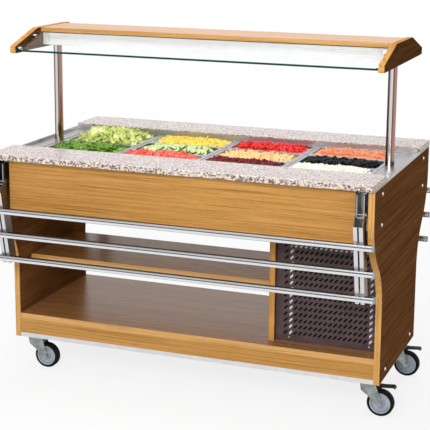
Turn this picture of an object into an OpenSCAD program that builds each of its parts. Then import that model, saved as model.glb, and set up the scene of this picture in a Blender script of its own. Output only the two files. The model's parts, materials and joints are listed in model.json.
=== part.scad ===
// Mobile refrigerated salad bar: timber cabinet on four swivel casters, cold well with lift-out
// pans under a lit canopy, and a folding tray slide on each long side.
// Origin: floor level under the middle of the cabinet. +X along the length, -Y is the front, +Z up.

/* [Cabinet] */
// Length of worktop from the well opening to a side panel's outer face
end_margin = 71; // [64:1:100]
// Depth of the side panels at their foot
foot_depth = 585; // [560:5:620]
// Height of the side panels' top edge
panel_top = 886; // [860:2:920]
// Distance from the side panel's top edge down to the start of its curve
curve_drop = 111; // [100:1:125]
// Height of that curve, which ends at the narrower foot
curve_h = 345; // [320:5:370]
// Thickness of every cabinet board
board_t = 22; // [18:1:25]
// Thickness of the edging strip on the side panels
edging_t = 2; // [1:0.5:3]
// Height of the plinth boards under the bottom shelf
plinth_h = 58; // [40:2:70]
// Thickness of the base board that carries the casters
base_t = 17; // [15:1:22]
// How far the shelf and plinth sit behind the side panel's front edge
front_set = 2; // [1:1:6]
// Height of the middle shelf's top above the bottom shelf's top
shelf_gap = 217; // [180:1:240]
// Depth of the middle shelf
mid_shelf_depth = 384; // [320:4:420]
// Length of the cooling compartment beside the divider
machine_len = 395; // [380:5:430]
// Depth of the divider
divider_depth = 470; // [450:2:500]
// Height of the front and rear aprons
apron_h = 198; // [180:2:210]
// Thickness of the aprons
apron_t = 18; // [16:1:20]
// Width of the open recess at each end of an apron
recess_w = 48; // [46:1:60]
// Set-back of the apron face behind the side panel's front edge
apron_set = 16; // [5:1:20]

/* [Worktop] */
// Sheet thickness of the steel worktop
sheet_t = 2; // [1.5:0.5:3]
// Thickness of the granite slabs
granite_t = 22; // [18:1:25]
// Width of a granite slab from its outer edge to its inner edge
granite_w = 193; // [180:1:200]
// Overhang of the granite beyond the side panels' front edge
granite_over = 15; // [8:1:20]
// Gap between the well opening and a granite slab's inner edge
slab_gap = 5; // [4:1:12]
// Height of the upstand at the ends of the steel worktop
rim_h = 10; // [6:1:14]
// Width of that upstand
rim_w = 8; // [6:1:12]

/* [Cold well] */
// Width of a food pan along the cabinet's length
pan_len = 325; // [323:1:327]
// Depth taken by one full column of pans
column_depth = 530; // [528:1:532]
// Depth of the pans below their rim
pan_depth = 100; // [65:5:120]
// Sheet thickness of the pans
pan_t = 1.2; // [1:0.1:1.6]
// Width of the rim of a pan
pan_rim = 11; // [10:0.5:12]
// Width of a bar between two columns of pans
bar_w = 7.4; // [6:0.2:10]
// Width of the ledge that carries the pan rims
ledge_w = 12; // [10:0.5:14]
// Depth of the cold well below the ledge
well_depth = 142; // [130:2:150]
// Thickness of the well's insulation
insul_t = 36; // [30:1:38]

/* [Canopy] */
// Clear height from the steel worktop to the light box
post_h = 392; // [370:2:430]
// Outer diameter of the canopy posts
post_d = 34; // [30:1:38]
// Gap between a post and the cheek beside it
post_gap = 1; // [0.5:0.5:4]
// Depth of the canopy's end cheeks
cheek_depth = 620; // [590:5:640]
// Depth of the flat top of a cheek
cheek_top_depth = 258; // [250:2:270]
// Height of a cheek
cheek_h = 82; // [78:1:88]
// Height of the upright front and rear ends of a cheek
cheek_nose = 26; // [22:1:30]
// Distance of a cheek's underside below the light box
cheek_low = 10; // [6:1:16]
// Depth of the canopy's top board
top_board_depth = 208; // [196:2:220]
// Thickness of the canopy's top board
top_board_t = 20; // [16:1:24]
// Depth of the light box under the top board
light_depth = 170; // [150:2:184]
// Thickness of the glass panes
glass_t = 6; // [5:1:8]
// Gap between a glass pane and the canopy's top board
glass_gap = 22; // [10:1:40]
// Gap between the cheek's sloping edge and the glass
glass_drop = 14; // [12:1:18]

/* [Tray slide] */
// Distance of the fold axis below the side panel's top edge
pivot_drop = 80; // [76:1:90]
// Distance of the fold axis in front of the side panel's edge
pivot_out = 3; // [2:0.5:5]
// Angle by which the hanging slide leans towards the cabinet
lean = 12; // [10:1:14]
// Outer width of an arm
arm_w = 34; // [32:1:38]
// Depth of an arm's section
arm_d = 46; // [40:1:50]
// Wall of an arm's section
arm_t = 2.5; // [2:0.5:3]
// Distance from the fold axis to the first rail
rail_first = 99; // [94:1:110]
// Distance from one rail to the next
rail_pitch = 99; // [94:1:106]
// Face width of a rail
rail_w = 23; // [20:1:28]
// Thickness of a rail
rail_t = 16; // [14:1:20]
// Overhang of a rail beyond the side panel's outer face
rail_over = 11; // [6:1:16]
// Diameter of the fold pin
pin_d = 8; // [6:0.5:10]

/* [Casters] */
// Height of the cabinet's underside above the floor
caster_h = 140; // [138:1:150]
// Wheel diameter
wheel_d = 100; // [96:1:104]
// Wheel width
wheel_w = 30; // [26:1:32]
// Trail of the wheel axle behind the swivel axis
trail = 47; // [38:1:50]
// Distance from the swivel axis to the side panel's outer face
caster_x_in = 55; // [46:1:70]
// Distance from the swivel axis to the cabinet foot's front or rear edge
caster_y_in = 72; // [60:1:90]
// Axle diameter
axle_d = 10; // [8:0.5:12]

/* [Cooling slots] */
// Pitch of the slots along the grille
slot_dx = 19; // [18:0.5:22]
// Pitch of the slots up the grille
slot_dz = 24; // [23:0.5:28]
// Length of a slot
slot_len = 19; // [16:0.5:20]
// Width of a slot
slot_w = 7; // [5:0.5:8]

/* [Hidden] */
$fn = 48;
fit = 0.05;
seat = 0.3;

bar_pitch = pan_len + bar_w + 0.6;
well_x = 2 * bar_pitch + 1;
well_y = column_depth / 2 + 3;
body_half = well_x + end_margin;
inner_half = body_half - board_t;

sheet_z = panel_top + sheet_t;
granite_z = sheet_z + granite_t;
slab_in = well_y + slab_gap;
granite_y = slab_in + granite_w;
slab_half = body_half - 2;
upstand_h = granite_t - 5;

top_half = granite_y - granite_over;
foot_half = foot_depth / 2;
bend_out = top_half - foot_half;
curve_top = panel_top - curve_drop;
curve_foot = curve_top - curve_h;
bend_r = (bend_out * bend_out + curve_h * curve_h) / (4 * bend_out);

panel_foot = caster_h;
plinth_z = panel_foot + base_t;
deck_z = plinth_z + plinth_h + board_t;
mid_shelf_z = deck_z + shelf_gap;
front_y = foot_half - front_set;
apron_y = top_half - apron_set;
apron_half = inner_half - recess_w;
divider_x = inner_half - machine_len - board_t;

liner_t = 2;
liner_x = well_x - ledge_w;
liner_y = well_y - ledge_w;
ledge_z = panel_top;
drain_d = 22;
drain_x = liner_x - 60;
nut_d = 24;
nut_h = 8;
nut_room = 30;
pan_r = 22;
liner_z = ledge_z - well_depth;
insul_z = liner_z - liner_t - insul_t;
insul_x = liner_x + liner_t + insul_t;
insul_y = liner_y + liner_t + insul_t - 5;

stud_d = 12;
light_z = sheet_z + post_h;
post_x = well_x + post_d / 2 - 2;
cheek_in = post_x + post_d / 2 + post_gap;
cheek_x = cheek_in + board_t;
cheek_z = light_z - cheek_low;
cheek_top_z = cheek_z + cheek_h;
nose_z = cheek_z + cheek_nose;
roof_half = cheek_depth / 2;
flat_half = cheek_top_depth / 2;
roof_pitch = atan((cheek_h - cheek_nose) / (roof_half - flat_half));
light_top = cheek_top_z - top_board_t;
glass_low = glass_drop + glass_t;
glass_run = roof_half - top_board_depth / 2 - glass_gap - glass_low * sin(roof_pitch);
glass_w = glass_run / cos(roof_pitch);
clip_d = 17;
clip_len = 14;

pivot_y = top_half + pivot_out;
pivot_z = panel_top - pivot_drop;
arm_x = inner_half - recess_w / 2;
arm_in = arm_w - 2 * arm_t;
arm_back = 2;
arm_face = arm_d - arm_back;
arm_lug_r = 12;
arm_end = rail_first + 2 * rail_pitch + rail_w / 2 + 14;
arm_slot = 6;
bracket_w = arm_in - 2 * seat;
bracket_t = 3;
bracket_z = pivot_z - 11;
bracket_top = panel_top - 12;
bracket_back = pivot_y - 46;
rail_half = body_half + rail_over;
cap_t = 7;
rail_r = 5;
groove_w = 3;
head_d = 15;

swivel_x = body_half - caster_x_in;
swivel_y = foot_half - caster_y_in;
axle_z = wheel_d / 2;
fork_t = 3;
fork_in = wheel_w / 2 + 2.5;
race_z = caster_h - 9;
crown_z = race_z - 9;
crown_r = 30;
plate_t = 4;
plate_l = 84;
plate_w = 66;
race_d = 50;
rim_r = wheel_d / 2 - 11;
pedal_z = crown_z - 10;
pedal_end = trail + wheel_d / 2 + 6;

grille_y = divider_depth / 2 - 20;
grille_x0 = divider_x + board_t;
grille_t = 1.5;
slot_x0 = grille_x0 + 38;
slot_z0 = deck_z + 34;
slot_cols = floor((inner_half - slot_x0 - 10) / slot_dx) + 1;
slot_rows = 15;

shell_d = 150;
shell_h = 110;
fan_size = 245;
coil_w = 90;

switch_x = -apron_half + 120;
switch_z = panel_top - 70;
panel_w = 110;
panel_h = 60;
panel_t = 3;
rocker_w = 19;
rocker_h = 24;

screw_in = 110;
screw_high = 30;
screw_low = 140;
foot_screw_in = 85;
foot_screw_up = 34;

// Cap screws on a side panel: distance from the middle of its depth, and height
screw_sites = [
    [top_half - screw_in, panel_top - screw_high],
    [top_half - screw_in, panel_top - screw_low],
    [foot_half - foot_screw_in, panel_foot + foot_screw_up],
];

// Depth taken by one pan in a column of two and in a column of three
half_share = column_depth / 2;
third_share = column_depth / 3;

// ---------- placing helpers ----------

module both_ends() {
    children();
    mirror([1, 0, 0]) children();
}

module both_faces() {
    children();
    mirror([0, 1, 0]) children();
}

module block(x0, x1, y0, y1, z0, z1) {
    translate([x0, y0, z0]) cube([x1 - x0, y1 - y0, z1 - z0]);
}

// Turns an outline drawn in depth and height into a board of thickness t, from x onwards
module upright(x, t) {
    translate([x, 0, 0]) rotate([90, 0, 90]) linear_extrude(t) children();
}

module rounded_rect(w, h, r) {
    square([w - 2 * r, h], center = true);
    square([w, h - 2 * r], center = true);
    for (sx = [-1, 1], sy = [-1, 1])
        translate([sx * (w / 2 - r), sy * (h / 2 - r)]) circle(r);
}

// ---------- cabinet ----------

// Side panel outline: deep at the top, curving in to the narrower foot by two equal arcs
function bend_high() = [top_half - bend_r, curve_top];
function bend_low() = [foot_half + bend_r, curve_foot];
function bend_mid(e) = bend_high() + (bend_low() - bend_high()) * (bend_r - e) / (2 * bend_r);

module panel_half(e) {
    difference() {
        union() {
            polygon([
                [-1, panel_foot + e], [foot_half - e, panel_foot + e],
                [foot_half - e, curve_foot], bend_mid(e), [top_half - e, curve_top],
                [top_half - e, panel_top - e], [-1, panel_top - e],
            ]);
            intersection() {
                translate(bend_high()) circle(bend_r - e, $fn = 180);
                translate(bend_mid(e)) square([bend_out, curve_top - bend_mid(e)[1]]);
            }
        }
        translate(bend_low()) circle(bend_r + e, $fn = 180);
    }
}

module panel_outline(e) {
    panel_half(e);
    mirror([1, 0]) panel_half(e);
}

module screw_places() {
    for (s = screw_sites, side = [-1, 1])
        translate([body_half, side * s[0], s[1]]) rotate([0, 90, 0]) children();
}

module side_panel() {
    difference() {
        upright(inner_half, board_t) panel_outline(edging_t);
        screw_places() translate([0, 0, -15]) cylinder(d = 6 + 2 * fit, h = 16);
    }
}

module side_panel_left() {
    color("sienna") mirror([1, 0, 0]) side_panel();
}

module side_panel_right() {
    color("sienna") side_panel();
}

module panel_edging() {
    color("burlywood") both_ends() upright(inner_half, board_t) difference() {
        panel_outline(0);
        panel_outline(edging_t);
    }
}

module cap_screws() {
    color("silver") both_ends() screw_places() {
        translate([0, 0, -14]) cylinder(d = 6, h = 14.5);
        intersection() {
            translate([0, 0, -6]) sphere(10.5);
            cylinder(d = 16, h = 5);
        }
    }
}

module apron() {
    block(-apron_half, apron_half, -apron_y, -apron_y + apron_t, panel_top - apron_h, panel_top);
}

module aprons() {
    color("peru") {
        apron();
        difference() {
            mirror([0, 1, 0]) apron();
            translate([switch_x, apron_y, switch_z])
                cube([panel_w - 20, 2 * apron_t + 4, panel_h - 18], center = true);
        }
    }
}

module bottom_shelf() {
    color("peru") block(-inner_half, inner_half, -front_y, front_y, deck_z - board_t, deck_z);
}

module plinth_boards() {
    color("peru") both_faces()
        block(-inner_half, inner_half, -front_y, -front_y + apron_t, plinth_z, plinth_z + plinth_h);
}

module base_board() {
    color("gainsboro") block(-inner_half, inner_half, -front_y, front_y, panel_foot, plinth_z);
}

module middle_shelf() {
    color("peru") block(-inner_half, divider_x, -mid_shelf_depth / 2, mid_shelf_depth / 2,
        mid_shelf_z - board_t, mid_shelf_z);
}

module divider() {
    color("peru") block(divider_x, divider_x + board_t, -divider_depth / 2, divider_depth / 2,
        deck_z, insul_z);
}

// Punched sheet with folded edges; the slots lean to the right like a row of strokes
module grille() {
    difference() {
        union() {
            block(grille_x0, inner_half, -grille_y, -grille_y + grille_t, deck_z, insul_z);
            block(grille_x0, inner_half, -grille_y, -grille_y + 16, deck_z, deck_z + grille_t);
            block(grille_x0, inner_half, -grille_y, -grille_y + 16, insul_z - grille_t, insul_z);
        }
        translate([0, -grille_y + 5, 0]) rotate([90, 0, 0]) linear_extrude(10)
            for (i = [0 : slot_cols - 1], j = [0 : slot_rows - 1])
                translate([slot_x0 + i * slot_dx, slot_z0 + j * slot_dz])
                    rotate(45) square([slot_len, slot_w], center = true);
    }
    for (x = [grille_x0 + 53, inner_half - 37], z = [deck_z + 16, slot_z0 + slot_rows * slot_dz])
        translate([x, -grille_y, z]) rotate([90, 0, 0]) cylinder(d = 8, h = 2);
}

module grilles() {
    color("rosybrown") both_faces() grille();
}

// ---------- cooling set behind the grilles ----------

module compressor() {
    foot_z = 18;
    shell_z = foot_z + 5;
    color("dimgray") translate([grille_x0 + shell_d / 2 + 45, 0, deck_z]) {
        translate([-shell_d / 2 - 10, -shell_d / 2 + 10, 0]) cube([shell_d + 20, shell_d - 20, 4]);
        for (sx = [-1, 1], sy = [-1, 1])
            translate([sx * (shell_d / 2 - 10), sy * (shell_d / 2 - 25), 4]) cylinder(d = 22, h = 14);
        translate([-shell_d / 2 - 5, -shell_d / 2 + 15, foot_z]) cube([shell_d + 10, shell_d - 30, 5]);
        translate([0, 0, shell_z]) cylinder(d = shell_d, h = shell_h);
        intersection() {
            translate([0, 0, shell_z + shell_h - 60]) sphere(0.64 * shell_d);
            translate([0, 0, shell_z + shell_h]) cylinder(d = shell_d, h = 60);
        }
        translate([shell_d / 2 - 15, -22, shell_z + 37]) cube([40, 44, 50]);
    }
}

module condenser() {
    fin_pitch = (fan_size - 20) / 11;
    color("gray") translate([inner_half - 150, 0, deck_z]) {
        difference() {
            translate([0, -fan_size / 2, 0]) cube([coil_w, fan_size, fan_size]);
            for (i = [0 : 10])
                translate([12, -fan_size / 2 + 12 + i * fin_pitch, 12])
                    cube([coil_w - 11, fin_pitch - 5, fan_size - 24]);
            translate([-1, 0, fan_size / 2]) rotate([0, 90, 0]) cylinder(d = fan_size - 40, h = 10);
        }
        translate([6, 0, fan_size / 2]) rotate([0, 90, 0]) cylinder(d = 60, h = 7);
        for (a = [0 : 72 : 288]) translate([9, 0, fan_size / 2]) rotate([a, 0, 0])
            translate([-1.5, 0, 28]) cube([3, 26, fan_size / 2 - 60]);
    }
}

// ---------- worktop and cold well ----------

module worktop() {
    color("silver") {
        difference() {
            block(-body_half, body_half, -top_half - 5, top_half + 5, panel_top, sheet_z);
            block(-well_x, well_x, -well_y, well_y, panel_top - 1, sheet_z + 1);
            both_ends() translate([post_x, 0, panel_top - 1]) cylinder(d = stud_d + 2 * fit, h = 5);
        }
        both_ends() block(body_half - rim_w, body_half, -slab_in, slab_in, sheet_z, sheet_z + rim_h);
        both_faces() block(-body_half + rim_w, body_half - rim_w, -slab_in, -slab_in + sheet_t,
            sheet_z, sheet_z + upstand_h);
    }
}

module granite_slabs() {
    color("lightgray") both_faces() upright(-slab_half, 2 * slab_half) polygon([
        [-granite_y, sheet_z], [-slab_in, sheet_z], [-slab_in, granite_z - 1.5],
        [-slab_in - 1.5, granite_z], [-granite_y + 3, granite_z], [-granite_y, granite_z - 3],
    ]);
}

// Steel liner: its flange hangs under the worktop sheet and its inner edge is the pan ledge
module cold_well() {
    color("lightsteelblue") difference() {
        union() {
            block(-well_x - 20, well_x + 20, -well_y - 15, well_y + 15, ledge_z - liner_t, ledge_z);
            block(-liner_x - liner_t, liner_x + liner_t, -liner_y - liner_t, liner_y + liner_t,
                liner_z - liner_t, ledge_z - liner_t);
        }
        block(-liner_x, liner_x, -liner_y, liner_y, liner_z, ledge_z + 1);
        translate([drain_x, 0, liner_z - 5]) cylinder(d = drain_d, h = 10);
        both_ends() translate([post_x, 0, ledge_z - 5]) cylinder(d = nut_d + 16, h = 10);
    }
}

module well_insulation() {
    color("khaki") difference() {
        block(-insul_x, insul_x, -insul_y, insul_y, insul_z, ledge_z - liner_t);
        block(-liner_x - liner_t, liner_x + liner_t, -liner_y - liner_t, liner_y + liner_t,
            liner_z - liner_t, ledge_z);
        translate([drain_x, 0, insul_z - 1]) cylinder(d = drain_d, h = insul_t + 2);
        both_ends() translate([post_x, 0, ledge_z - nut_room]) cylinder(d = nut_d + 20, h = nut_room);
    }
}

// T-section bar: its wings carry the pan rims, its ends lie on the ledge
module pan_bars() {
    wing = bar_w / 2 + 11;
    color("gray") for (k = [-1 : 1]) translate([k * bar_pitch, 0, 0]) {
        block(-wing, wing, -liner_y + seat, liner_y - seat, ledge_z - 3, ledge_z);
        block(-bar_w / 2, bar_w / 2, -liner_y + seat, liner_y - seat, ledge_z, sheet_z);
        both_faces() block(-bar_w / 2, bar_w / 2, -well_y + 1, -liner_y + seat, ledge_z, sheet_z);
    }
}

// One food pan: col 0 to 3 from the left, place counted from the front
module pan(col, share, place) {
    rim_x = pan_len;
    rim_y = share - 1;
    body_x = pan_len - 2 * pan_rim;
    body_y = share - 1 - 2 * pan_rim;
    color("whitesmoke")
        translate([(col - 1.5) * bar_pitch, -column_depth / 2 + share * (place + 0.5), ledge_z]) {
            difference() {
                union() {
                    linear_extrude(pan_t) rounded_rect(rim_x, rim_y, pan_r - 10);
                    translate([0, 0, -pan_depth]) linear_extrude(pan_depth)
                        rounded_rect(body_x, body_y, pan_r);
                }
                translate([0, 0, pan_t - pan_depth]) linear_extrude(pan_depth + 1)
                    rounded_rect(body_x - 2 * pan_t, body_y - 2 * pan_t, pan_r - pan_t);
            }
        }
}

module pan_lettuce() { pan(0, half_share, 1); }
module pan_rocket() { pan(0, half_share, 0); }
module pan_corn() { pan(1, third_share, 2); }
module pan_cucumber() { pan(1, third_share, 1); }
module pan_tomato() { pan(1, third_share, 0); }
module pan_pepper() { pan(2, third_share, 2); }
module pan_pasta() { pan(2, third_share, 1); }
module pan_beans() { pan(2, third_share, 0); }
module pan_carrot() { pan(3, third_share, 2); }
module pan_olives() { pan(3, third_share, 1); }
module pan_cheese() { pan(3, third_share, 0); }

// ---------- canopy ----------

module canopy_posts() {
    color("silver") both_ends() translate([post_x, 0, 0]) {
        difference() {
            translate([0, 0, sheet_z]) cylinder(d = post_d, h = post_h);
            translate([0, 0, sheet_z + 6]) cylinder(d = post_d - 3, h = post_h - 12);
        }
        translate([0, 0, panel_top - nut_h - 4]) cylinder(d = stud_d, h = nut_h + sheet_t + 5);
        translate([0, 0, panel_top - nut_h]) cylinder(d = nut_d, h = nut_h, $fn = 6);
    }
}

module canopy_cheeks() {
    c = 5;
    color("peru") both_ends() upright(cheek_in, board_t) polygon([
        [-roof_half + c, cheek_z], [roof_half - c, cheek_z], [roof_half, cheek_z + c],
        [roof_half, nose_z], [flat_half, cheek_top_z], [-flat_half, cheek_top_z],
        [-roof_half, nose_z], [-roof_half, cheek_z + c],
    ]);
}

module canopy_top() {
    color("peru") block(-cheek_in, cheek_in, -top_board_depth / 2, top_board_depth / 2,
        light_top, cheek_top_z - 1);
}

module light_box() {
    lx = cheek_in;
    ly = light_depth / 2;
    color("white") difference() {
        block(-lx, lx, -ly, ly, light_z, light_top);
        block(-lx + 70, lx - 70, -ly + 2, ly - 2, light_z - 1, light_top - 2);
    }
}

module light_diffuser() {
    ly = light_depth / 2 - 2;
    color("ivory") block(-cheek_in + 70, cheek_in - 70, -ly, ly, light_z, light_z + 3);
}

// The slope frame: y runs up the roof slope from the nose, z is square to it
module on_slope() {
    translate([0, -roof_half, nose_z]) rotate([roof_pitch, 0, 0]) children();
}

module pane() {
    on_slope() translate([-cheek_in + 1, 0, -glass_low])
        cube([2 * cheek_in - 2, glass_w, glass_t]);
}

module sneeze_glass() {
    color("paleturquoise", 0.5) both_faces() pane();
}

module glass_clips() {
    color("silver") both_faces() difference() {
        on_slope() both_ends() for (s = [18, glass_w - 43])
            translate([cheek_in - clip_len, s, -glass_drop - glass_t / 2])
                rotate([0, 90, 0]) cylinder(d = clip_d, h = clip_len);
        pane();
    }
}

// ---------- controls on the hidden long side ----------

module control_plate() {
    color("dimgray") translate([switch_x, apron_y, switch_z]) difference() {
        union() {
            translate([-panel_w / 2, 0, -panel_h / 2]) cube([panel_w, panel_t, panel_h]);
            translate([-panel_w / 2 + 11, -14, -panel_h / 2 + 10]) cube([panel_w - 22, 14, panel_h - 20]);
            translate([-24, panel_t, 0]) cube([44, 2, 22], center = true);
        }
        translate([30, 0, 0]) cube([rocker_w + 1.2, 24, rocker_h + 3], center = true);
    }
}

module power_switch() {
    color("black") translate([switch_x + 30 - rocker_w / 2, apron_y, switch_z])
        rotate([90, 0, 90]) linear_extrude(rocker_w) polygon([
            [-6, -5], [-6, 5], [0, rocker_h / 2], [3, rocker_h / 2], [3.4, 0],
            [6.2, -rocker_h / 2 + 0.6], [3, -rocker_h / 2 + 0.2],
        ]);
}

// ---------- folding tray slide ----------

// Frame of the hanging slide: origin on the fold axis, -Y away from the cabinet, -Z down an arm
module at_pivot() {
    translate([0, -pivot_y, pivot_z]) rotate([lean, 0, 0]) children();
}

// Side view of an arm's wall: round lug at the fold pin, oblique shoulder, straight shank
module arm_wall() {
    difference() {
        union() {
            circle(arm_lug_r);
            polygon([
                [-arm_lug_r * cos(30), arm_lug_r * sin(30)], [-arm_face, -28],
                [-arm_face, -arm_end], [arm_back, -arm_end], [arm_back, -22], [arm_lug_r, 0],
            ]);
        }
        circle(pin_d / 2 + fit);
    }
}

module slide_arm() {
    at_pivot() translate([arm_x, 0, 0]) {
        for (side = [-1, 1]) {
            upright(side * (arm_w - arm_t) / 2 - arm_t / 2, arm_t) arm_wall();
            block(side > 0 ? arm_slot / 2 : -arm_w / 2, side > 0 ? arm_w / 2 : -arm_slot / 2,
                -arm_face, -arm_face + arm_t, -arm_end, -28);
        }
        block(-arm_w / 2, arm_w / 2, arm_back - arm_t, arm_back, -arm_end, -22);
    }
}

// Rail section: flattened tube with a rubbing groove above the middle of its face
module rail_section(inset) {
    difference() {
        rounded_rect(rail_t - 2 * inset, rail_w - 2 * inset, rail_r - inset);
        translate([-rail_t / 2 - 1, 1.5]) square([2.5 + inset, groove_w + 2 * inset]);
    }
}

module rail_places() {
    at_pivot() for (i = [0 : 2])
        translate([0, -arm_face - rail_t / 2, -rail_first - i * rail_pitch]) children();
}

module slide_rails() {
    rail_places() upright(-rail_half + cap_t, 2 * (rail_half - cap_t)) difference() {
        rail_section(0);
        rail_section(2.5);
    }
}

module slide_caps() {
    rail_places() both_ends() upright(rail_half - cap_t, cap_t) rounded_rect(rail_t, rail_w, rail_r);
}

module front_slide_arms() { color("lightgray") both_ends() slide_arm(); }
module front_slide_rails() { color("silver") slide_rails(); }
module front_slide_caps() { color("slategray") slide_caps(); }
module rear_slide_arms() { color("lightgray") mirror([0, 1, 0]) both_ends() slide_arm(); }
module rear_slide_rails() { color("silver") mirror([0, 1, 0]) slide_rails(); }
module rear_slide_caps() { color("slategray") mirror([0, 1, 0]) slide_caps(); }

// Channel open to the front, with a wing that is screwed to the side panel and the fold pin
module slide_bracket() {
    translate([arm_x, 0, 0]) {
        difference() {
            block(-bracket_w / 2, bracket_w / 2, -pivot_y - 10, -bracket_back, bracket_z, bracket_top);
            block(-bracket_w / 2 + bracket_t, bracket_w / 2 - bracket_t,
                -pivot_y - 11, -bracket_back - bracket_t, bracket_z + bracket_t, bracket_top + 1);
        }
        block(-recess_w / 2, recess_w / 2, -bracket_back - bracket_t, -bracket_back,
            bracket_z, bracket_top);
        block(recess_w / 2 - bracket_t, recess_w / 2, -bracket_back, -bracket_back + 24,
            bracket_z, bracket_top);
        translate([0, -pivot_y, pivot_z]) rotate([0, 90, 0]) {
            cylinder(d = pin_d, h = arm_w + 8, center = true);
            for (side = [-1, 1]) translate([0, 0, side * (arm_w / 2 + seat + 2.2)])
                cylinder(d = head_d, h = 4.4, center = true);
        }
    }
}

module slide_brackets() {
    color("lightgray") both_faces() both_ends() slide_bracket();
}

// ---------- casters ----------

module at_caster(sx, sy) {
    translate([sx * swivel_x, sy * swivel_y, 0]) children();
}

module caster_plates() {
    color("silver") for (sx = [-1, 1], sy = [-1, 1]) at_caster(sx, sy) {
        translate([-plate_l / 2, -plate_w / 2, caster_h - plate_t]) cube([plate_l, plate_w, plate_t]);
        translate([0, 0, race_z + seat]) cylinder(d = race_d, h = 9 - plate_t - seat);
        translate([0, 0, crown_z - 5]) cylinder(d = 12, h = 14 + seat);
        translate([0, 0, crown_z - 9]) cylinder(d = 20, h = 9 - seat - 3, $fn = 6);
    }
}

// Side view of a fork leg: wide under the crown, swept back and narrowing to the axle
module leg_outline() {
    difference() {
        union() {
            polygon([
                [-crown_r + 2, crown_z], [crown_r, crown_z], [trail + 12, axle_z],
                [trail - 12, axle_z], [-crown_r + 6, crown_z - 26],
            ]);
            translate([trail, axle_z]) circle(12);
        }
        translate([-crown_r + 2, axle_z - 12]) circle(trail - 12 + crown_r - 16);
    }
}

module fork() {
    difference() {
        union() {
            translate([0, 0, crown_z]) cylinder(r = crown_r, h = race_z - crown_z);
            block(-crown_r + 2, crown_r, -fork_in - fork_t, fork_in + fork_t, crown_z - 3, crown_z + 3);
            for (side = [-1, 1])
                translate([0, side * (fork_in + fork_t / 2) + fork_t / 2, 0])
                    rotate([90, 0, 0]) linear_extrude(fork_t) leg_outline();
        }
        translate([0, 0, crown_z - 10]) cylinder(d = 12 + 2 * fit, h = 40);
        translate([0, 0, crown_z - 10]) cylinder(d = 24, h = 10 - 3 + 0.001);
    }
    translate([trail, 0, axle_z]) rotate([90, 0, 0]) {
        cylinder(d = axle_d, h = 2 * (fork_in + fork_t) + 4, center = true);
        for (side = [-1, 1]) translate([0, 0, side * (fork_in + fork_t + 2.5)])
            cylinder(d = 17, h = 5, center = true, $fn = 6);
    }
}

module rim() {
    translate([trail, 0, axle_z]) rotate([90, 0, 0]) rotate_extrude() difference() {
        translate([0, -wheel_w / 2]) square([rim_r, wheel_w]);
        translate([-1, -wheel_w / 2 - 1]) square([1 + axle_d / 2 + fit, wheel_w + 2]);
        polygon([[14, wheel_w / 2 + 1], [18, 6], [rim_r - 7, 6], [rim_r - 4, wheel_w / 2 + 1]]);
        polygon([[14, -wheel_w / 2 - 1], [18, -6], [rim_r - 7, -6], [rim_r - 4, -wheel_w / 2 - 1]]);
    }
}

module tyre() {
    c = 5;
    r = wheel_d / 2;
    h = wheel_w / 2;
    translate([trail, 0, axle_z]) rotate([90, 0, 0]) rotate_extrude() polygon([
        [rim_r, -h], [r - c, -h], [r - 1.5, -h + 2], [r, -h + c],
        [r, h - c], [r - 1.5, h - 2], [r - c, h], [rim_r, h],
    ]);
}

// Foot pedal over the wheel, hinged on ears of the fork crown
module pedal() {
    difference() {
        union() {
            rotate([90, 0, 0]) linear_extrude(26, center = true) polygon([
                [22, pedal_z - 2], [34, pedal_z - 2], [36, pedal_z - 7], [50, pedal_z - 7],
                [53, pedal_z - 1], [pedal_end - 8, pedal_z + 3], [pedal_end - 2, pedal_z - 1],
                [pedal_end, pedal_z + 1], [pedal_end - 6, pedal_z + 9],
                [60, pedal_z + 6], [22, pedal_z + 6],
            ]);
            translate([22, 0, pedal_z + 2]) rotate([90, 0, 0]) cylinder(d = 8, h = 26, center = true);
        }
        translate([22, 0, pedal_z + 2]) rotate([90, 0, 0]) cylinder(d = 4 + 2 * fit, h = 60, center = true);
    }
}

module pedal_pin() {
    translate([22, 0, pedal_z + 2]) rotate([90, 0, 0])
        cylinder(d = 4, h = 2 * fork_in + 2, center = true);
}

// The rear left caster stands turned half round
module caster_front_left() { at_caster(-1, -1) children(); }
module caster_front_right() { at_caster(1, -1) children(); }
module caster_rear_left() { at_caster(-1, 1) rotate(180) children(); }
module caster_rear_right() { at_caster(1, 1) children(); }

module braked_fork() {
    fork();
    pedal_pin();
}

module fork_front_left() { color("silver") caster_front_left() fork(); }
module fork_front_right() { color("silver") caster_front_right() braked_fork(); }
module fork_rear_left() { color("silver") caster_rear_left() fork(); }
module fork_rear_right() { color("silver") caster_rear_right() braked_fork(); }
module rim_front_left() { color("slategray") caster_front_left() rim(); }
module rim_front_right() { color("slategray") caster_front_right() rim(); }
module rim_rear_left() { color("slategray") caster_rear_left() rim(); }
module rim_rear_right() { color("slategray") caster_rear_right() rim(); }
module tyre_front_left() { color("black") caster_front_left() tyre(); }
module tyre_front_right() { color("black") caster_front_right() tyre(); }
module tyre_rear_left() { color("black") caster_rear_left() tyre(); }
module tyre_rear_right() { color("black") caster_rear_right() tyre(); }
module brake_pedal_front() { color("black") caster_front_right() pedal(); }
module brake_pedal_rear() { color("black") caster_rear_right() pedal(); }

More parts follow.
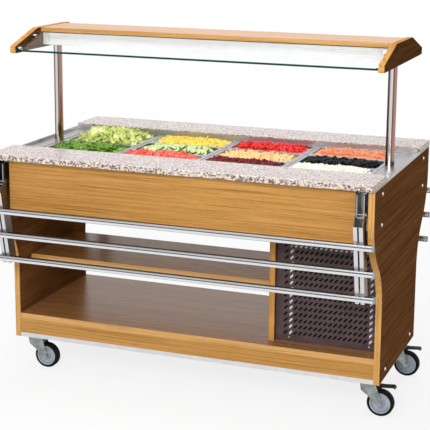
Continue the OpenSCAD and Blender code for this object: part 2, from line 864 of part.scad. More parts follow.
side_panel_left();
side_panel_right();
panel_edging();
aprons();
bottom_shelf();
plinth_boards();
base_board();
middle_shelf();
divider();
grilles();
worktop();
cold_well();
well_insulation();
granite_slabs();
pan_bars();
canopy_posts();
canopy_cheeks();
canopy_top();
light_box();
light_diffuser();
sneeze_glass();
glass_clips();
cap_screws();
compressor();
condenser();
control_plate();
power_switch();
slide_brackets();
front_slide_arms();
front_slide_rails();
front_slide_caps();
rear_slide_arms();
rear_slide_rails();
rear_slide_caps();
caster_plates();
fork_front_left();
fork_front_right();
fork_rear_left();
fork_rear_right();
rim_front_left();
rim_front_right();
rim_rear_left();
rim_rear_right();
tyre_front_left();
tyre_front_right();
tyre_rear_left();
tyre_rear_right();
brake_pedal_front();
brake_pedal_rear();
pan_lettuce();
pan_rocket();
pan_corn();
pan_cucumber();
pan_tomato();
pan_pepper();
pan_pasta();
pan_beans();
pan_carrot();
pan_olives();
pan_cheese();
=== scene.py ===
"""Looks of a mobile salad bar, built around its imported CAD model: finishes, food, light and camera.

Metres, in the CAD model's frame: +X along the length, -Y towards the front, +Z up, floor at z = 0.
"""

import json
import math

import bpy
import numpy as np
from mathutils import Matrix, Vector


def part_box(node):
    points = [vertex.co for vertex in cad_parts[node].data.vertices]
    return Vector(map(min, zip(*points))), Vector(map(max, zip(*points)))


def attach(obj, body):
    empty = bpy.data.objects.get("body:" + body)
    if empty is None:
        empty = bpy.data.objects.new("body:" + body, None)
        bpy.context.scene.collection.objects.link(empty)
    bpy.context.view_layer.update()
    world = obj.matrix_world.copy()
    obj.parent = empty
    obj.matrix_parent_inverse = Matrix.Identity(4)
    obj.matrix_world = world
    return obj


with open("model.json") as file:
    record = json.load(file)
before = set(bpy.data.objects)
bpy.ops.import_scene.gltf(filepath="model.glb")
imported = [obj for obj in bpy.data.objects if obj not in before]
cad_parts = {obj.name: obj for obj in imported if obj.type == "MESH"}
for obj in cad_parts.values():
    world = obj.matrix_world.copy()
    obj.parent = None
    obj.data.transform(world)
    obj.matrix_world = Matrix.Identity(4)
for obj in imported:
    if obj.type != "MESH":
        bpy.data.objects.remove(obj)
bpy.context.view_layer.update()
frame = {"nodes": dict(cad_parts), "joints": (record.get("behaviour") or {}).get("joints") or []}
rng = np.random.default_rng(7815)

MM = 0.001
TURN = 2 * math.pi


def tone(red, green, blue):
    """A screen colour from 0 to 255 as the linear colour that a shader takes."""
    parts = [c / 255 for c in (red, green, blue)]
    return (*[c / 12.92 if c <= 0.04045 else ((c + 0.055) / 1.055) ** 2.4 for c in parts], 1.0)


# ---------- materials ----------


class Graph:
    """A new material's node tree, with short calls for the nodes used here."""

    def __init__(self, name):
        self.mat = bpy.data.materials.new(name)
        self.mat.use_nodes = True
        self.tree = self.mat.node_tree
        self.bsdf = self.tree.nodes["Principled BSDF"]
        coords = self.tree.nodes.new("ShaderNodeTexCoord")
        self.coords = coords.outputs["Object"]
        self.normal = coords.outputs["Normal"]

    def put(self, socket, value):
        if isinstance(value, bpy.types.NodeSocket):
            self.tree.links.new(value, socket)
        else:
            socket.default_value = value

    def add(self, kind, **inputs):
        node = self.tree.nodes.new("ShaderNode" + kind)
        for name, value in inputs.items():
            self.put(node.inputs[name.replace("_", " ")], value)
        return node

    def shader(self, **inputs):
        for name, value in inputs.items():
            self.put(self.bsdf.inputs[name.replace("_", " ")], value)

    def noise(self, scale, detail=4.0, roughness=0.5, distortion=0.0):
        """Noise from 0 to 1; scale is waves per metre, one number or one for each axis."""
        sizes = (scale,) * 3 if isinstance(scale, (int, float)) else scale
        spot = self.add("Mapping", Vector=self.coords, Scale=sizes)
        return self.add("TexNoise", Vector=spot.outputs[0], Scale=1.0, Detail=detail,
                        Roughness=roughness, Distortion=distortion).outputs[0]

    def cells(self, scale):
        """A random value from 0 to 1 for each cell, scale cells per metre."""
        cell = self.add("TexVoronoi", Vector=self.coords, Scale=scale)
        return self.add("SeparateColor", Color=cell.outputs["Color"]).outputs[0]

    def ramp(self, value, stops, stepped=False):
        node = self.add("ValToRGB", Fac=value)
        ramp = node.color_ramp
        ramp.interpolation = "CONSTANT" if stepped else "LINEAR"
        for end, (place, colour) in zip((0, 1), (stops[0], stops[-1])):
            ramp.elements[end].position = place
            ramp.elements[end].color = colour
        for place, colour in stops[1:-1]:
            ramp.elements.new(place).color = colour
        return node.outputs[0]

    def mix(self, share, a, b, blend="MIX"):
        node = self.tree.nodes.new("ShaderNodeMix")
        node.data_type, node.blend_type = "RGBA", blend
        for index, value in ((0, share), (6, a), (7, b)):
            self.put(node.inputs[index], value)
        return node.outputs[2]

    def calc(self, operation, a, b=0.0):
        node = self.tree.nodes.new("ShaderNodeMath")
        node.operation = operation
        self.put(node.inputs[0], a)
        self.put(node.inputs[1], b)
        return node.outputs[0]

    def spread(self, value, low, high, start=0.0, end=1.0):
        """value from start..end taken to low..high."""
        return self.add("MapRange", Value=value, From_Min=start, From_Max=end,
                        To_Min=low, To_Max=high).outputs[0]

    def axis(self, which, source=None):
        return self.add("SeparateXYZ", Vector=source or self.coords).outputs["XYZ".index(which)]

    def magnitude(self, which, source=None):
        """A coordinate without its sign, because the part is alike on both sides."""
        return self.calc("ABSOLUTE", self.axis(which, source))

    def facing(self, which, limit=0.6):
        """1 on faces that look along an axis, either way, and 0 on the others."""
        return self.calc("GREATER_THAN", self.magnitude(which, self.normal), limit)

    def darken(self, share, colour, value, low, high, level):
        """colour, darker by share where value is below high, most where it is below low."""
        shade = self.ramp(value, [(low, grey(level)), (high, grey(1.0))])
        return self.mix(share, colour, shade, "MULTIPLY")

    def bump(self, height, depth):
        self.shader(Normal=self.add("Bump", Height=height, Distance=depth, Strength=1.0).outputs[0])


def along(axis, lengthwise, across):
    """Noise scales with lengthwise on one axis and across on the other two."""
    return tuple(lengthwise if name == axis else across for name in "XYZ")


def grey(level):
    return (level, level, level, 1.0)


def wood(name, tones, grain="X", edge=None, roughness=0.42, gloss=0.22):
    """Oak laminate: soft bands, long dark streaks, fibres and pores along the grain axis.

    tones are (vein, dark, mid, light); edge gives the tones of an edge band, on the faces that
    look to the front and rear.
    """
    g = Graph(name)
    streaks = g.noise(along(grain, 1.7, 200), 5, 0.62, 0.05)
    veins = g.noise(along(grain, 1.5, 130), 6, 0.66, 0.1)
    fibres = g.noise(along(grain, 9, 560), 3, 0.6)
    pores = g.noise(along(grain, 38, 900), 2)
    bands = g.noise(along(grain, 1.4, 22), 4, 0.55, 0.4)

    def board(vein, dark, mid, light):
        colour = g.ramp(bands, [(0.32, mid), (0.64, light)])
        colour = g.mix(g.spread(streaks, 0.75, 0.0, 0.36, 0.54), colour, dark)
        return g.mix(g.spread(veins, 0.0, 0.85, 0.6, 0.69), colour, vein)

    colour = board(*tones)
    if edge:
        side = g.facing("Y")
        colour = g.mix(side, colour, board(*edge))
    colour = g.darken(0.4, colour, fibres, 0.3, 0.62, 0.5)
    colour = g.darken(0.35, colour, pores, 0.33, 0.42, 0.35)
    g.shader(Base_Color=colour, Roughness=g.spread(fibres, roughness - 0.06, roughness + 0.1),
             Specular_IOR_Level=gloss)
    g.bump(pores, 0.08 * MM)
    return g.mat


def cheek_wood(name, face, edge):
    """Oak board whose big faces look to the ends, with light edge bands round it."""
    g = Graph(name)
    streaks = g.noise(along("Y", 4.0, 120), 5, 0.62, 0.3)
    fibres = g.noise(along("Y", 9, 560), 3, 0.6)
    wide = g.facing("X")
    # The big faces take the face tones, which here are the oak darkened with painted shade
    inner = g.ramp(streaks, [(0.34, face[1]), (0.6, face[2])])
    outer = g.ramp(streaks, [(0.34, edge[1]), (0.6, edge[3])])
    colour = g.darken(0.4, g.mix(wide, outer, inner), fibres, 0.3, 0.62, 0.5)
    g.shader(Base_Color=colour, Roughness=0.5, Specular_IOR_Level=0.0)
    g.bump(fibres, 0.05 * MM)
    return g.mat


def brushed(name, colour, roughness, grain="X", depth=0.02):
    """Brushed sheet metal with fine scratches along the grain axis, depth in millimetres."""
    g = Graph(name)
    lines = g.noise(along(grain, 6, 1600), 3, 0.7)
    clouds = g.noise(9, 3)
    sheet = g.mix(g.spread(clouds, 0.0, 0.35), colour, grey(0.45), "MULTIPLY")
    scratched = g.spread(lines, -0.07, 0.09)
    worn = g.spread(clouds, roughness, roughness + 0.05)
    g.shader(Base_Color=sheet, Metallic=1.0, Roughness=g.calc("ADD", scratched, worn))
    g.bump(lines, depth * MM)
    return g.mat


def folded(name, face, side, top, roughness):
    """Brushed sheet with its own tone on faces to the front and rear, to the sides, and upwards.

    The darker sides and tops stand in for what the metal reflects in the photograph.
    """
    g = Graph(name)
    lines = g.noise(along("Z", 6, 1600), 3, 0.7)
    level = g.facing("Y", 0.75)
    above = g.calc("GREATER_THAN", g.axis("Z", g.normal), 0.3)
    colour = g.mix(above, g.mix(level, side, face), top)
    g.shader(Base_Color=g.darken(1.0, colour, lines, 0.3, 0.7, 0.84), Metallic=1.0,
             Roughness=g.spread(lines, roughness - 0.06, roughness + 0.08))
    g.bump(lines, 0.02 * MM)
    return g.mat


def plated(name, colour, roughness, stain):
    """Plated or polished metal, faintly stained."""
    g = Graph(name)
    clouds = g.noise(34, 4, 0.6)
    g.shader(Base_Color=g.ramp(clouds, [(0.35, colour), (0.7, stain)]), Metallic=1.0,
             Roughness=g.spread(g.noise(160, 3), roughness * 0.7, roughness * 1.5))
    return g.mat


def polished_tube(name, start, stops):
    """Polished upright tube: bands from stops, drawn twice round it from the start angle.

    The bands stand in for what the metal reflects in the photograph.
    """
    g = Graph(name)
    angle = g.calc("ARCTAN2", g.axis("Y", g.normal), g.axis("X", g.normal))
    wander = g.spread(g.noise((3, 3, 1.2), 2), -0.03, 0.03)
    share = g.calc("DIVIDE", g.calc("SUBTRACT", angle, start), math.pi)
    level = g.calc("FRACT", g.calc("ADD", share, wander))
    g.shader(Base_Color=g.ramp(level, stops), Metallic=1.0,
             Roughness=g.spread(g.noise((400, 400, 5), 2), 0.08, 0.2))
    return g.mat


def domed(name):
    """Polished bolt heads and screws: painted shade underneath and a painted highlight on top."""
    g = Graph(name)
    level = g.spread(g.axis("Z", g.normal), 0.0, 1.0, -1.0, 1.0)
    up = g.calc("ADD", level, g.spread(g.noise(500, 2), -0.1, 0.1))
    # Painted shade on faces that look down, rising to a painted highlight on faces that look up
    metal = g.ramp(up, [(0.1, tone(70, 62, 60)), (0.42, tone(134, 128, 126)),
                        (0.55, tone(204, 204, 206)), (0.75, tone(240, 240, 241))])
    g.shader(Base_Color=metal, Metallic=1.0, Roughness=g.spread(g.noise(160, 3), 0.16, 0.34))
    return g.mat


def moulded(name, colour, worn, roughness, texture=0.05, scale=900, gloss=0.35):
    """Moulded plastic, rubber or paint with slightly worn patches.

    texture is the depth of its fine bumps in millimetres and scale their waves per metre.
    """
    g = Graph(name)
    patches = g.noise(26, 4, 0.6)
    grain = g.noise(scale, 2)
    g.shader(Base_Color=g.ramp(patches, [(0.4, colour), (0.75, worn)]),
             Roughness=g.spread(patches, roughness - 0.05, roughness + 0.08),
             Specular_IOR_Level=gloss)
    g.bump(grain, texture * MM)
    return g.mat


def granite(name):
    """Polished granite: cream and pink-grey crystals with brown and near-black specks."""
    g = Graph(name)
    coarse = g.ramp(g.cells(175), [
        (0.0, tone(54, 48, 50)), (0.15, tone(112, 88, 74)), (0.28, tone(142, 130, 128)),
        (0.42, tone(206, 190, 172)), (0.66, tone(222, 210, 196)), (0.86, tone(186, 170, 162)),
    ], stepped=True)
    fine = g.ramp(g.cells(300), [
        (0.0, tone(84, 76, 80)), (0.12, tone(154, 138, 136)), (0.25, tone(204, 190, 187)),
        (0.55, tone(226, 214, 211)), (0.85, tone(208, 194, 193)),
    ], stepped=True)
    upright = g.calc("LESS_THAN", g.magnitude("Z", g.normal), 0.6)
    flat_share = g.spread(g.noise(14, 3), 0.75, 0.95)
    share = g.calc("SUBTRACT", flat_share, g.calc("MULTIPLY", upright, 0.7))
    g.shader(Base_Color=g.mix(share, coarse, fine), Roughness=g.spread(g.noise(240, 2), 0.18, 0.3),
             Specular_IOR_Level=0.2)
    return g.mat


def pane_glass(name):
    """Clear float glass whose cut edges look dark green; a low IOR keeps white off its face."""
    edge_band = 4 * MM
    g = Graph(name)
    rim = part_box("sneeze_glass")[1][1] - edge_band
    face = g.calc("MULTIPLY", g.facing("Z"), g.calc("LESS_THAN", g.magnitude("Y"), rim))
    smear = g.noise(7, 3)
    g.shader(Base_Color=g.mix(face, tone(0, 62, 58), tone(253, 255, 254)),
             Roughness=g.spread(smear, 0.0, 0.03), Transmission_Weight=face, IOR=1.14)
    return g.mat


def grille_paint(name, face_y):
    """Dark powder coat; the screw heads that stand proud of the sheet are bright metal."""
    g = Graph(name)
    head = g.calc("GREATER_THAN", g.magnitude("Y"), face_y)
    paint = g.ramp(g.noise(30, 4), [(0.35, tone(72, 56, 57)), (0.7, tone(88, 70, 70))])
    g.shader(Base_Color=g.mix(head, paint, tone(206, 204, 200)), Metallic=head,
             Roughness=g.spread(head, 0.5, 0.25), Specular_IOR_Level=0.3)
    g.bump(g.noise(1400, 2), 0.04 * MM)
    return g.mat


# The tray slides at rest: where the arms turn, how far they lean out, and the rails' pitch on them
FOLD = next(joint for joint in frame["joints"] if joint["name"] == "front_slide_fold")
_, PIVOT_Y, PIVOT_Z = (abs(place) for place in FOLD["pos_m"])
LEAN = math.radians(12)
RAIL_PITCH = 99 * MM
RAIL_HALF = 12  # millimetres of a rail's face above and below its middle


def rail_finish(name):
    """Bright anodised aluminium drawn along the rail, with painted reflection in light and dark bands
    across its face and a dark line of painted shade in the groove along it.
    """
    g = Graph(name)
    lines = g.noise(along("X", 3, 2200), 3, 0.7)
    out = g.calc("SUBTRACT", PIVOT_Y, g.magnitude("Y"))
    up = g.calc("SUBTRACT", g.axis("Z"), PIVOT_Z)
    height = g.calc("SUBTRACT", g.calc("MULTIPLY", up, math.cos(LEAN)),
                    g.calc("MULTIPLY", out, math.sin(LEAN)))
    rung = g.calc("DIVIDE", g.calc("MULTIPLY", height, -1.0), RAIL_PITCH)
    above = g.calc("MULTIPLY", g.calc("SUBTRACT", g.calc("ROUND", rung), rung), RAIL_PITCH / MM)
    # Painted reflection bands across the rail's face; the darkest stops are painted shade in its
    # groove
    face = g.ramp(g.spread(above, 0.0, 1.0, -RAIL_HALF, RAIL_HALF), [
        (0.0, tone(112, 112, 116)), (0.1, tone(150, 150, 154)), (0.17, tone(240, 240, 241)),
        (0.5, tone(232, 232, 233)), (0.55, tone(226, 226, 228)), (0.575, tone(66, 62, 62)),
        (0.66, tone(66, 62, 62)), (0.7, tone(176, 177, 181)), (0.84, tone(208, 209, 212)),
        (0.93, tone(150, 148, 150)), (1.0, tone(96, 92, 92))])
    g.shader(Base_Color=g.darken(1.0, face, lines, 0.3, 0.7, 0.82), Metallic=1.0,
             Roughness=g.spread(lines, 0.2, 0.36))
    g.bump(lines, 0.015 * MM)
    return g.mat


# Woods as (vein, dark, mid, light)
OAK = tone(116, 72, 30), tone(152, 102, 44), tone(188, 134, 64), tone(202, 150, 80)
OAK_EDGE = tone(150, 96, 44), tone(182, 126, 60), tone(208, 154, 84), tone(222, 170, 100)
# The same oak darkened with painted shade, for the side panels, the divider and the canopy cheeks'
# big faces
OAK_PAINTED_SHADE = tone(58, 36, 22), tone(82, 52, 30), tone(114, 74, 42), tone(132, 88, 52)
# Shelves: the same oak, darkened with painted shade
SHELF_PAINTED_SHADE = tone(98, 62, 36), tone(130, 86, 50), tone(162, 112, 66), tone(176, 124, 76)
# Canopy top: the oak made lighter and pinker, a painted reflection
CANOPY_PAINTED_REFLECTION = OAK[0], tone(186, 128, 78), tone(206, 152, 104), tone(216, 166, 120)

oak_x = wood("oak_laminate_lengthwise", OAK)
# Side panels and divider: the same oak as the aprons, with painted shade in its colour
oak_painted_shade_crosswise = wood("oak_laminate_painted_shade_crosswise", OAK_PAINTED_SHADE, "Y", roughness=0.5, gloss=0.0)
oak_painted_shade_upright = wood("oak_laminate_painted_shade_upright", OAK_PAINTED_SHADE, "Z", OAK_EDGE, roughness=0.5, gloss=0.0)
edging = wood("edging_strip", OAK_EDGE, "Z")
shelf = wood("shelf_laminate_painted_shade", SHELF_PAINTED_SHADE, "X", OAK_EDGE, roughness=0.26, gloss=0.5)
zinc = plated("bright_zinc", tone(164, 168, 168), 0.26, tone(114, 120, 118))
bolt_steel_painted_shading = domed("bolt_steel_painted_shading")
chrome = polished_tube("polished_chrome", math.radians(-159), [
    (0.0, tone(64, 50, 48)), (0.24, tone(86, 70, 66)), (0.31, tone(206, 202, 200)),
    (0.46, tone(218, 215, 213)), (0.51, tone(86, 58, 54)), (0.6, tone(160, 126, 112)),
    (0.86, tone(172, 138, 126)), (1.0, tone(90, 58, 54))])
arm_alu = folded("arm_aluminium", tone(222, 222, 223), tone(122, 112, 108),
                 tone(106, 94, 88), 0.3)
rail_alu = rail_finish("rail_aluminium_painted_shade")
cap_plastic = moulded("end_cap_plastic", tone(132, 140, 156), tone(150, 157, 172), 0.42)
rim_plastic = moulded("wheel_plastic", tone(154, 160, 172), tone(170, 176, 187), 0.45)
tyre_rubber = moulded("tyre_rubber", tone(18, 17, 17), tone(36, 34, 34), 0.7, 0.12, 500, 0.06)
pedal_black = moulded("pedal_plastic", tone(22, 22, 23), tone(40, 40, 41), 0.45, 0.1, 900, 0.15)
insulation = moulded("insulation_foam", tone(224, 210, 160), tone(236, 226, 184), 0.9, 0.5, 300)
pan_steel = brushed("pan_steel", tone(192, 193, 197), 0.3, "X", 0.01)

finish_of = {
    "side_panel_left": oak_painted_shade_crosswise, "side_panel_right": oak_painted_shade_crosswise, "panel_edging": edging,
    "aprons": oak_x, "plinth_boards": oak_x, "bottom_shelf": shelf, "middle_shelf": shelf,
    "divider": oak_painted_shade_upright,
    "base_board": moulded("base_trim", tone(204, 203, 204), tone(214, 213, 214), 0.5, 0.03),
    "grilles": grille_paint("grille_powder_coat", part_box("grilles")[1][1] - 1 * MM),
    "worktop": brushed("worktop_steel", tone(186, 184, 184), 0.3, "X"),
    "pan_bars": brushed("bar_steel", tone(178, 179, 182), 0.32, "Y"),
    "cold_well": brushed("well_steel", tone(170, 172, 175), 0.34, "X"),
    "well_insulation": insulation, "granite_slabs": granite("granite"),
    # The cheeks' big faces take the oak darkened with painted shade, and their edges the edge band
    "canopy_posts": chrome, "canopy_cheeks": cheek_wood("cheek_laminate_painted_shade", OAK_PAINTED_SHADE, OAK_EDGE),
    "canopy_top": wood("canopy_laminate_painted_reflection", CANOPY_PAINTED_REFLECTION, "X", OAK_EDGE, roughness=0.3, gloss=0.5),
    "light_box": moulded("light_box_paint", tone(250, 251, 252), tone(243, 245, 247), 0.35, 0.02),
    "light_diffuser": moulded("opal_lens", tone(246, 248, 248), tone(240, 243, 244), 0.3, 0.02),
    "sneeze_glass": pane_glass("pane_glass"), "glass_clips": bolt_steel_painted_shading, "cap_screws": bolt_steel_painted_shading,
    "compressor": moulded("compressor_paint", tone(38, 38, 40), tone(58, 57, 58), 0.5, 0.1, 400),
    "condenser": brushed("condenser_aluminium", tone(120, 122, 124), 0.42, "Z"),
    "control_plate": moulded("control_plastic", tone(30, 30, 31), tone(44, 44, 45), 0.5, 0.08),
    "power_switch": moulded("rocker_plastic", tone(16, 16, 17), tone(26, 26, 27), 0.25, 0.01),
    "slide_brackets": folded("bracket_steel", tone(184, 188, 188), tone(86, 80, 78),
                             tone(92, 84, 80), 0.3),
    "front_slide_arms": arm_alu, "rear_slide_arms": arm_alu,
    "front_slide_rails": rail_alu, "rear_slide_rails": rail_alu,
    "front_slide_caps": cap_plastic, "rear_slide_caps": cap_plastic, "caster_plates": zinc,
}
for corner in ("front_left", "front_right", "rear_left", "rear_right"):
    finish_of["fork_" + corner] = zinc
    finish_of["rim_" + corner] = rim_plastic
    finish_of["tyre_" + corner] = tyre_rubber
for side in ("front", "rear"):
    finish_of["brake_pedal_" + side] = pedal_black

# What has no finish of its own above is a food pan
for name, node in frame["nodes"].items():
    finish = finish_of.get(name, pan_steel)
    for place in node.material_slots:
        place.material = finish


# ---------- food ----------


def turned(points, rotation):
    return points @ np.array(rotation).T


def any_turn(flat=False):
    """A random rotation; a flat one only tilts a little from lying down."""
    spin = Matrix.Rotation(rng.uniform(0, TURN), 3, "Z")
    lean, roll = [rng.normal(0, 0.3) if flat else rng.uniform(-1.4, 1.4) for _ in range(2)]
    return spin @ Matrix.Rotation(lean, 3, "X") @ Matrix.Rotation(roll, 3, "Y")


def leaning():
    """A random rotation of a slice that leans on its neighbours and shows its face to the front."""
    return (Matrix.Rotation(rng.normal(0, 0.5), 3, "Z")
            @ Matrix.Rotation(rng.uniform(0.05, 0.4), 3, "X")
            @ Matrix.Rotation(rng.normal(0, 0.25), 3, "Y"))


def skin(rings, closed=False, slots=None):
    """Faces over a row of rings of points, capped unless closed.

    slots gives the material of each band, and last that of the two caps.
    """
    rings = np.asarray(rings, float)
    rows, count = rings.shape[:2]
    faces, used = [], []
    bands = rows if closed else rows - 1
    for i in range(bands):
        low, high = i * count, (i + 1) % rows * count
        for j in range(count):
            k = (j + 1) % count
            faces.append((low + j, low + k, high + k, high + j))
            used.append(slots[i] if slots else 0)
    if not closed:
        faces += [tuple(range(count))[::-1], tuple(range((rows - 1) * count, rows * count))]
        used += [slots[-1] if slots else 0] * 2
    return rings.reshape(-1, 3), faces, used


def ring(count, rx, ry, z):
    a = np.arange(count) * TURN / count
    return np.stack([rx * np.cos(a), ry * np.sin(a), np.full(count, z)], 1)


def blob(length, width, height, bend=0.0, sides=8, rows=5):
    """A rounded grain or bean along X, bent by that much in the middle."""
    rings = [ring(sides, math.cos(a) * width / 2, math.cos(a) * height / 2,
                  math.sin(a) * length / 2) for a in np.linspace(-1.35, 1.35, rows)]
    points, faces, used = skin(rings)
    points = points[:, [2, 0, 1]]
    points[:, 1] += bend * (points[:, 0] / (length / 2)) ** 2
    return points, faces, used


def strip(length, width, thick, curl, sides=4, rows=6):
    """A cut strip along X that curls in an arc and tapers at its ends."""
    rings = []
    for t in np.linspace(-0.5, 0.5, rows):
        taper = 1 - 1.6 * abs(t) ** 3
        section = ring(sides, thick * taper / 2 * 1.3, width * taper / 2 * 1.3, 0)[:, [2, 1, 0]]
        angle = curl * t
        around = length / max(curl, 0.05)
        section = turned(section, Matrix.Rotation(angle, 3, "Y"))
        rings.append(section + [around * math.sin(angle), 0, around * (math.cos(angle) - 1)])
    return skin(rings[::-1])


def slice_disc(radius, thick):
    """A cucumber slice: flesh on both faces, a dark rind round the edge."""
    half = thick / 2
    rings = [ring(16, radius * r, radius * r, z) for r, z in (
        (0.3, half * 0.9), (0.62, half), (0.91, half), (1.0, half * 0.5), (1.0, -half * 0.5),
        (0.91, -half), (0.3, -half * 0.9))]
    return skin(rings[::-1], slots=[0, 1, 1, 1, 0, 0, 2])


def wedge(radius, angle):
    """A tomato wedge: skin outside, flesh on its two cut faces."""
    lats = np.linspace(-1.25, 1.25, 7)
    rings = []
    for a in np.linspace(0, angle, 5):
        r = np.append(np.cos(lats) * radius, [0.15 * radius] * 2)
        z = np.append(np.sin(lats) * radius * 0.9, [0.7 * radius, -0.7 * radius])
        rings.append(np.stack([r * math.cos(a), r * math.sin(a), z], 1))
    points, faces, used = skin(rings[::-1])
    used[-2:] = [1, 1]
    return points - points.mean(0), faces, used


def macaroni(length, outer, inner, curl):
    """A short bent pasta tube, hollow right through."""
    rings = []
    steps = np.linspace(-0.5, 0.5, 5)
    for radius, places in ((outer, steps), (inner, steps[::-1])):
        for t in places:
            angle = curl * t
            section = ring(10, radius, radius, 0)[:, [2, 1, 0]]
            section = turned(section, Matrix.Rotation(angle, 3, "Y"))
            around = length / curl
            rings.append(section + [around * math.sin(angle), 0, around * (math.cos(angle) - 1)])
    return skin(rings[::-1], closed=True)


def dice(size):
    """A cut cube with broken corners, slightly out of square."""
    half, cut = size / 2, size * 0.12
    rings = []
    for z, inset in ((-half, cut), (-half + cut, 0), (half - cut, 0), (half, cut)):
        w = half - inset
        corners = [(w, -w + cut), (w, w - cut), (w - cut, w), (-w + cut, w),
                   (-w, w - cut), (-w, -w + cut), (-w + cut, -w), (w - cut, -w)]
        rings.append([(x, y, z) for x, y in corners])
    points, faces, used = skin(rings)
    points = points * rng.uniform(0.8, 1.15, 3) + rng.normal(0, size * 0.02, points.shape)
    return points, faces, used


def sheet_of(grid, thick):
    """A thin closed sheet over a grid of points, thick below it."""
    rows, count = grid.shape[:2]
    top = grid.reshape(-1, 3)
    under = top - [0, 0, thick]
    n = len(top)
    faces = []
    for i in range(rows - 1):
        for j in range(count - 1):
            a = i * count + j
            quad = (a, a + 1, a + count + 1, a + count)
            faces += [quad[::-1], tuple(n + v for v in quad)]
    border = (list(range(count)) + [i * count + count - 1 for i in range(1, rows)]
              + [(rows - 1) * count + j for j in range(count - 2, -1, -1)]
              + [i * count for i in range(rows - 2, 0, -1)])
    for a, b in zip(border, border[1:] + border[:1]):
        faces.append((a, b, n + b, n + a))
    return np.concatenate([top, under]), faces, [0] * len(faces)


def leaf(length, width, ruffle, lobes=0):
    """A leaf along X: cupped blade with a ruffled or lobed edge."""
    rows, count = 11, 9
    thick = 0.7 * MM
    grid = np.zeros((rows, count, 3))
    phase = rng.uniform(0, TURN, 3)
    cup = rng.uniform(0.1, 0.35)
    for i, u in enumerate(np.linspace(0.02, 1, rows)):
        if lobes:
            outline = (0.25 + 0.75 * abs(math.sin(lobes * math.pi * u))) * (0.35 + 0.65 * u)
            outline *= 1 - u ** 8
        else:
            outline = math.sin(math.pi * min(1, u * 0.86 + 0.08)) ** 0.6
        arch = 0.25 * length * math.sin(math.pi * u) * 0.35
        for j, v in enumerate(np.linspace(-1, 1, count)):
            wave = math.sin(u * 17 + phase[0] + v) + 0.6 * math.sin(u * 31 + phase[1] + 2 * v)
            z = cup * width * v * v + ruffle * wave * v * v + arch
            z += 0.35 * ruffle * math.sin(v * 9 + phase[2]) * u
            grid[i, j] = (length * (u - 0.5), width / 2 * outline * v, z)
    return sheet_of(grid, thick)


def new_piece(name, points, faces, finishes):
    mesh = bpy.data.meshes.new(name)
    mesh.from_pydata(points, [], faces)
    for finish in finishes:
        mesh.materials.append(finish)
    piece = bpy.data.objects.new(name, mesh)
    bpy.context.scene.collection.objects.link(piece)
    return piece


class Heap:
    """Food in one pan: many small closed pieces and the fill under them, as one mesh."""

    WALL = 14 * MM  # from the pan's box to the food, past its rim and wall
    FLOOR = 1.6 * MM  # from the pan's box to the food, past its bottom
    BELOW_RIM = 10 * MM
    CROWN = 7 * MM  # the fill's middle stands this much above its edge
    CORNER = 20 * MM

    def __init__(self, pan, rise=0.0):
        low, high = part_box(pan)
        self.pan = pan
        self.middle = (Vector(low) + Vector(high)) / 2
        self.half = (Vector(high) - Vector(low)) / 2 - Vector((self.WALL, self.WALL, 0))
        self.floor = low[2] + self.FLOOR
        self.top = high[2] - self.BELOW_RIM + rise * MM
        self.points, self.faces, self.used, self.count = [], [], [], 0

    def surface(self, x, y):
        """Height of the fill at a place measured from the pan's middle."""
        sx, sy = x / self.half.x, y / self.half.y
        rise = (1 - abs(sx) ** 3) * (1 - abs(sy) ** 3)
        return self.top + self.CROWN * rise + 2 * MM * math.sin(41 * x + 3) * math.sin(57 * y + 1)

    def add(self, shape, place=(0, 0, 0), rotation=None):
        points, faces, used = shape
        if rotation is not None:
            points = turned(points, rotation)
        self.points.append(points + np.array(place))
        self.faces += [tuple(self.count + v for v in f) for f in faces]
        self.used += used
        self.count += len(points)

    def fill(self, slot):
        """Closed block of food from the pan's floor to the crowned surface, clear of the walls."""
        border = 40
        rings = []
        bottom = [(self.floor, 0.0)]
        for z, inset in bottom + [(None, share) for share in (0.0, 0.15, 0.4, 0.7, 0.92)]:
            row = []
            for k in range(border):
                a = TURN * (k + 0.5) / border
                reach = 1 / max(abs(math.cos(a)) / self.half.x, abs(math.sin(a)) / self.half.y)
                x, y = reach * math.cos(a), reach * math.sin(a)
                cx = max(0, abs(x) - self.half.x + self.CORNER)
                cy = max(0, abs(y) - self.half.y + self.CORNER)
                over = math.hypot(cx, cy)
                if over > self.CORNER:
                    x -= math.copysign(cx * (1 - self.CORNER / over), x)
                    y -= math.copysign(cy * (1 - self.CORNER / over), y)
                x, y = x * (1 - inset), y * (1 - inset)
                row.append((x, y, self.surface(x, y) if z is None else z))
            rings.append(row)
        points, faces, used = skin(rings)
        self.add((points, faces, [slot] * len(faces)), (self.middle.x, self.middle.y, 0))

    def scatter(self, make, number, reach, lift=(0, 4), flat=False, turn=None):
        """Places pieces on an uneven grid over the heap, reach clear of the pan's walls.

        lift is the lowest and highest height above the fill, in millimetres.
        """
        wide, deep = self.half.x - reach, self.half.y - reach
        across = max(1, round(math.sqrt(number * wide / deep)))
        down = max(1, round(number / across))
        for i in range(across):
            for j in range(down):
                x = ((i + rng.uniform(0, 1)) / across * 2 - 1) * wide
                y = ((j + rng.uniform(0, 1)) / down * 2 - 1) * deep
                z = self.surface(x, y) + rng.uniform(*lift) * MM
                self.add(make(), (self.middle.x + x, self.middle.y + y, z),
                         turn() if turn else any_turn(flat))

    def build(self, materials, smooth=True):
        piece = new_piece(self.pan.replace("pan_", "food_"),
                          np.concatenate(self.points).tolist(), self.faces, materials)
        piece.data.polygons.foreach_set("material_index", self.used)
        piece.data.polygons.foreach_set("use_smooth", [smooth] * len(self.faces))
        piece.data.update()
        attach(piece, self.pan)


